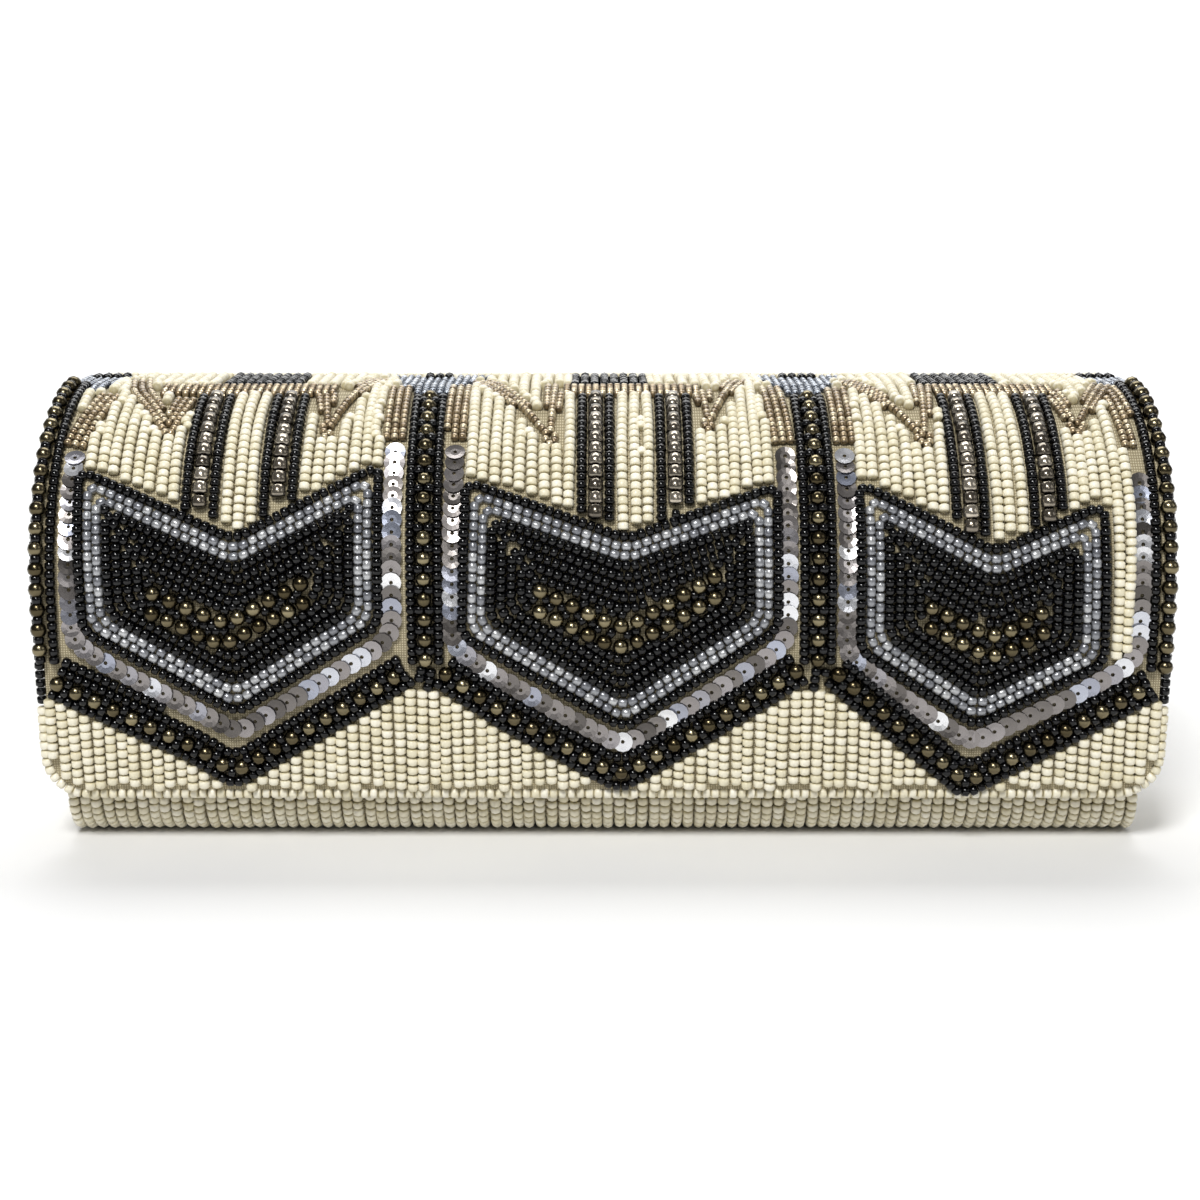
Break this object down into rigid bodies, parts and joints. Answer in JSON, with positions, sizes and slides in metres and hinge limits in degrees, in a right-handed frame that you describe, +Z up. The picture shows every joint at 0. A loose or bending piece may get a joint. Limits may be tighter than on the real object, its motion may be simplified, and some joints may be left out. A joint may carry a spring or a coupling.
{
  "type": "clutch purse",
  "caption": "Rectangular evening clutch with a rounded top and a full-width beaded flap that hinges on the fold at the top back edge and closes with a magnetic snap.",
  "frame": {"origin": "middle of the overall box in X and Y, on the surface that the purse stands on", "axes": "+Z up, +X along the width to the right as seen from the front, the flap's front faces -Y"},
  "size_m": [0.229, 0.056, 0.0925],
  "materials": {
    "ivory_glass_beads": "opaque lustre seed beads sewn in columns on cotton ground cloth",
    "ivory_ground_cloth": "plain woven cotton",
    "champagne_satin": "polyester satin",
    "grey_bookboard": "uncoated",
    "nickel_plate": "plated steel",
    "jet_glass_beads": "opaque gloss black seed beads",
    "antique_gold_beads": "dark bronze metallic round beads",
    "silver_lined_beads": "clear seed beads with a silvered hole",
    "champagne_beads": "light bronze silver-lined seed beads",
    "pewter_sequins": "metallised flat sequins"
  },
  "bodies": {
    "case": {"case_bead_panel": "ivory_glass_beads", "left_end_bead_panel": "ivory_glass_beads", "right_end_bead_panel": "ivory_glass_beads", "front_cover": "champagne_satin", "front_board": "grey_bookboard", "bottom_board": "grey_bookboard", "back_board": "grey_bookboard", "left_end_board": "grey_bookboard", "right_end_board": "grey_bookboard", "lining_pouch": "champagne_satin", "back_facing": "champagne_satin", "front_binding": "champagne_satin", "left_end_binding": "champagne_satin", "right_end_binding": "champagne_satin", "slip_pocket": "champagne_satin", "pocket_binding": "champagne_satin", "snap_socket": "nickel_plate", "snap_socket_plate": "nickel_plate", "fold_roll": "ivory_ground_cloth"},
    "flap": {"flap_bead_panel": "ivory_glass_beads", "flap_board": "grey_bookboard", "flap_lining": "champagne_satin", "flap_edging": "ivory_glass_beads", "snap_stud": "nickel_plate", "snap_stud_plate": "nickel_plate"}
  },
  "joints": [
    {"name": "flap_fold", "type": "hinge", "parent": "case", "child": "flap", "pos_m": [0, 0.0262, 0.0907], "axis": [-1, 0, 0], "range_deg": [0, 170]}
  ]
}
